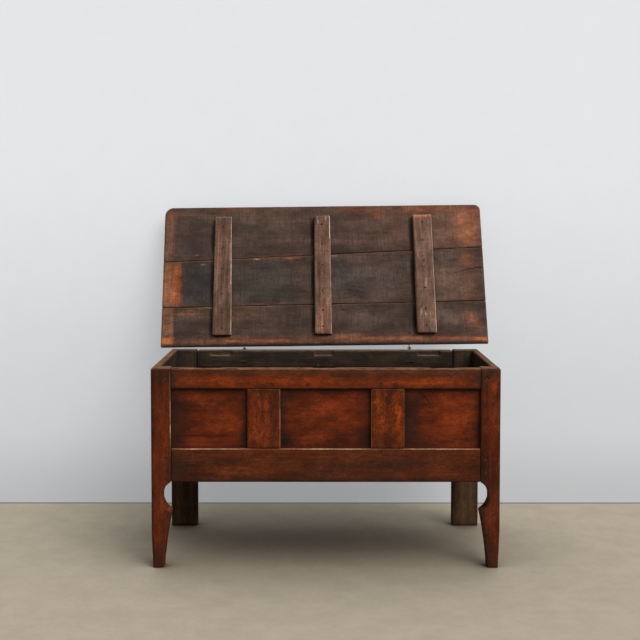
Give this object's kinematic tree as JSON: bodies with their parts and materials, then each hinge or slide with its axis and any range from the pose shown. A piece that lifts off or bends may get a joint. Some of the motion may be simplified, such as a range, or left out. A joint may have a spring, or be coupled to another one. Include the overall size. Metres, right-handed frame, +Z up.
{
  "type": "joined coffer",
  "caption": "Joined oak coffer with a panelled front on shaped legs and a boarded, battened lid that opens on linked wire cotters.",
  "frame": {"origin": "on the floor, under the middle of the whole coffer with its lid open", "axes": "+X to the right of the front, +Y from the front to the back, +Z up"},
  "size_m": [1.2368, 0.7785, 1.1986],
  "materials": {
    "frame_oak": "waxed red-brown oak, dark in the corners and pale on the worn arrises",
    "panel_oak": "waxed red-brown oak with level grain, grimy along its edges",
    "back_oak": "unpolished dark brown oak",
    "bottom_boards": "unfinished grey-brown oak",
    "lid_oak": "rough grey-brown oak underside with warmer brown edges",
    "batten_oak": "dry rosy grey-brown oak",
    "peg_oak": "dark end grain",
    "wrought_iron": "dark hand-worked iron wire and nails"
  },
  "bodies": {
    "case": {"front_post_left": "frame_oak", "front_post_right": "frame_oak", "rear_stile_left": "back_oak", "rear_stile_right": "back_oak", "front_top_rail": "frame_oak", "front_bottom_rail": "frame_oak", "front_muntin_left": "frame_oak", "front_muntin_right": "frame_oak", "front_panel_left": "panel_oak", "front_panel_middle": "panel_oak", "front_panel_right": "panel_oak", "rear_top_rail": "back_oak", "rear_bottom_rail": "back_oak", "rear_muntin": "back_oak", "rear_panel_left": "back_oak", "rear_panel_right": "back_oak", "end_top_rail_left": "frame_oak", "end_bottom_rail_left": "frame_oak", "end_panel_left": "panel_oak", "end_top_rail_right": "frame_oak", "end_bottom_rail_right": "frame_oak", "end_panel_right": "panel_oak", "floor_board_1": "bottom_boards", "floor_board_2": "bottom_boards", "floor_board_3": "bottom_boards", "floor_board_4": "bottom_boards", "floor_board_5": "bottom_boards", "floor_ledge_front": "bottom_boards", "floor_ledge_rear": "bottom_boards", "floor_nails": "wrought_iron", "ledge_nails": "wrought_iron", "front_pegs": "peg_oak", "rear_pegs": "peg_oak", "end_pegs_left": "peg_oak", "end_pegs_right": "peg_oak", "rail_cotter_left": "wrought_iron", "rail_cotter_right": "wrought_iron"},
    "lid": {"lid_board_front": "lid_oak", "lid_board_middle": "lid_oak", "lid_board_rear": "lid_oak", "batten_left": "batten_oak", "batten_middle": "batten_oak", "batten_right": "batten_oak", "batten_nails": "wrought_iron", "lid_cotter_left": "wrought_iron", "lid_cotter_right": "wrought_iron"}
  },
  "joints": [
    {"name": "lid_hinge", "type": "hinge", "parent": "case", "child": "lid", "pos_m": [0, 0.15913, 0.659], "axis": [1, 0.0065, 0.0044], "range_deg": [0, 111.6]}
  ]
}
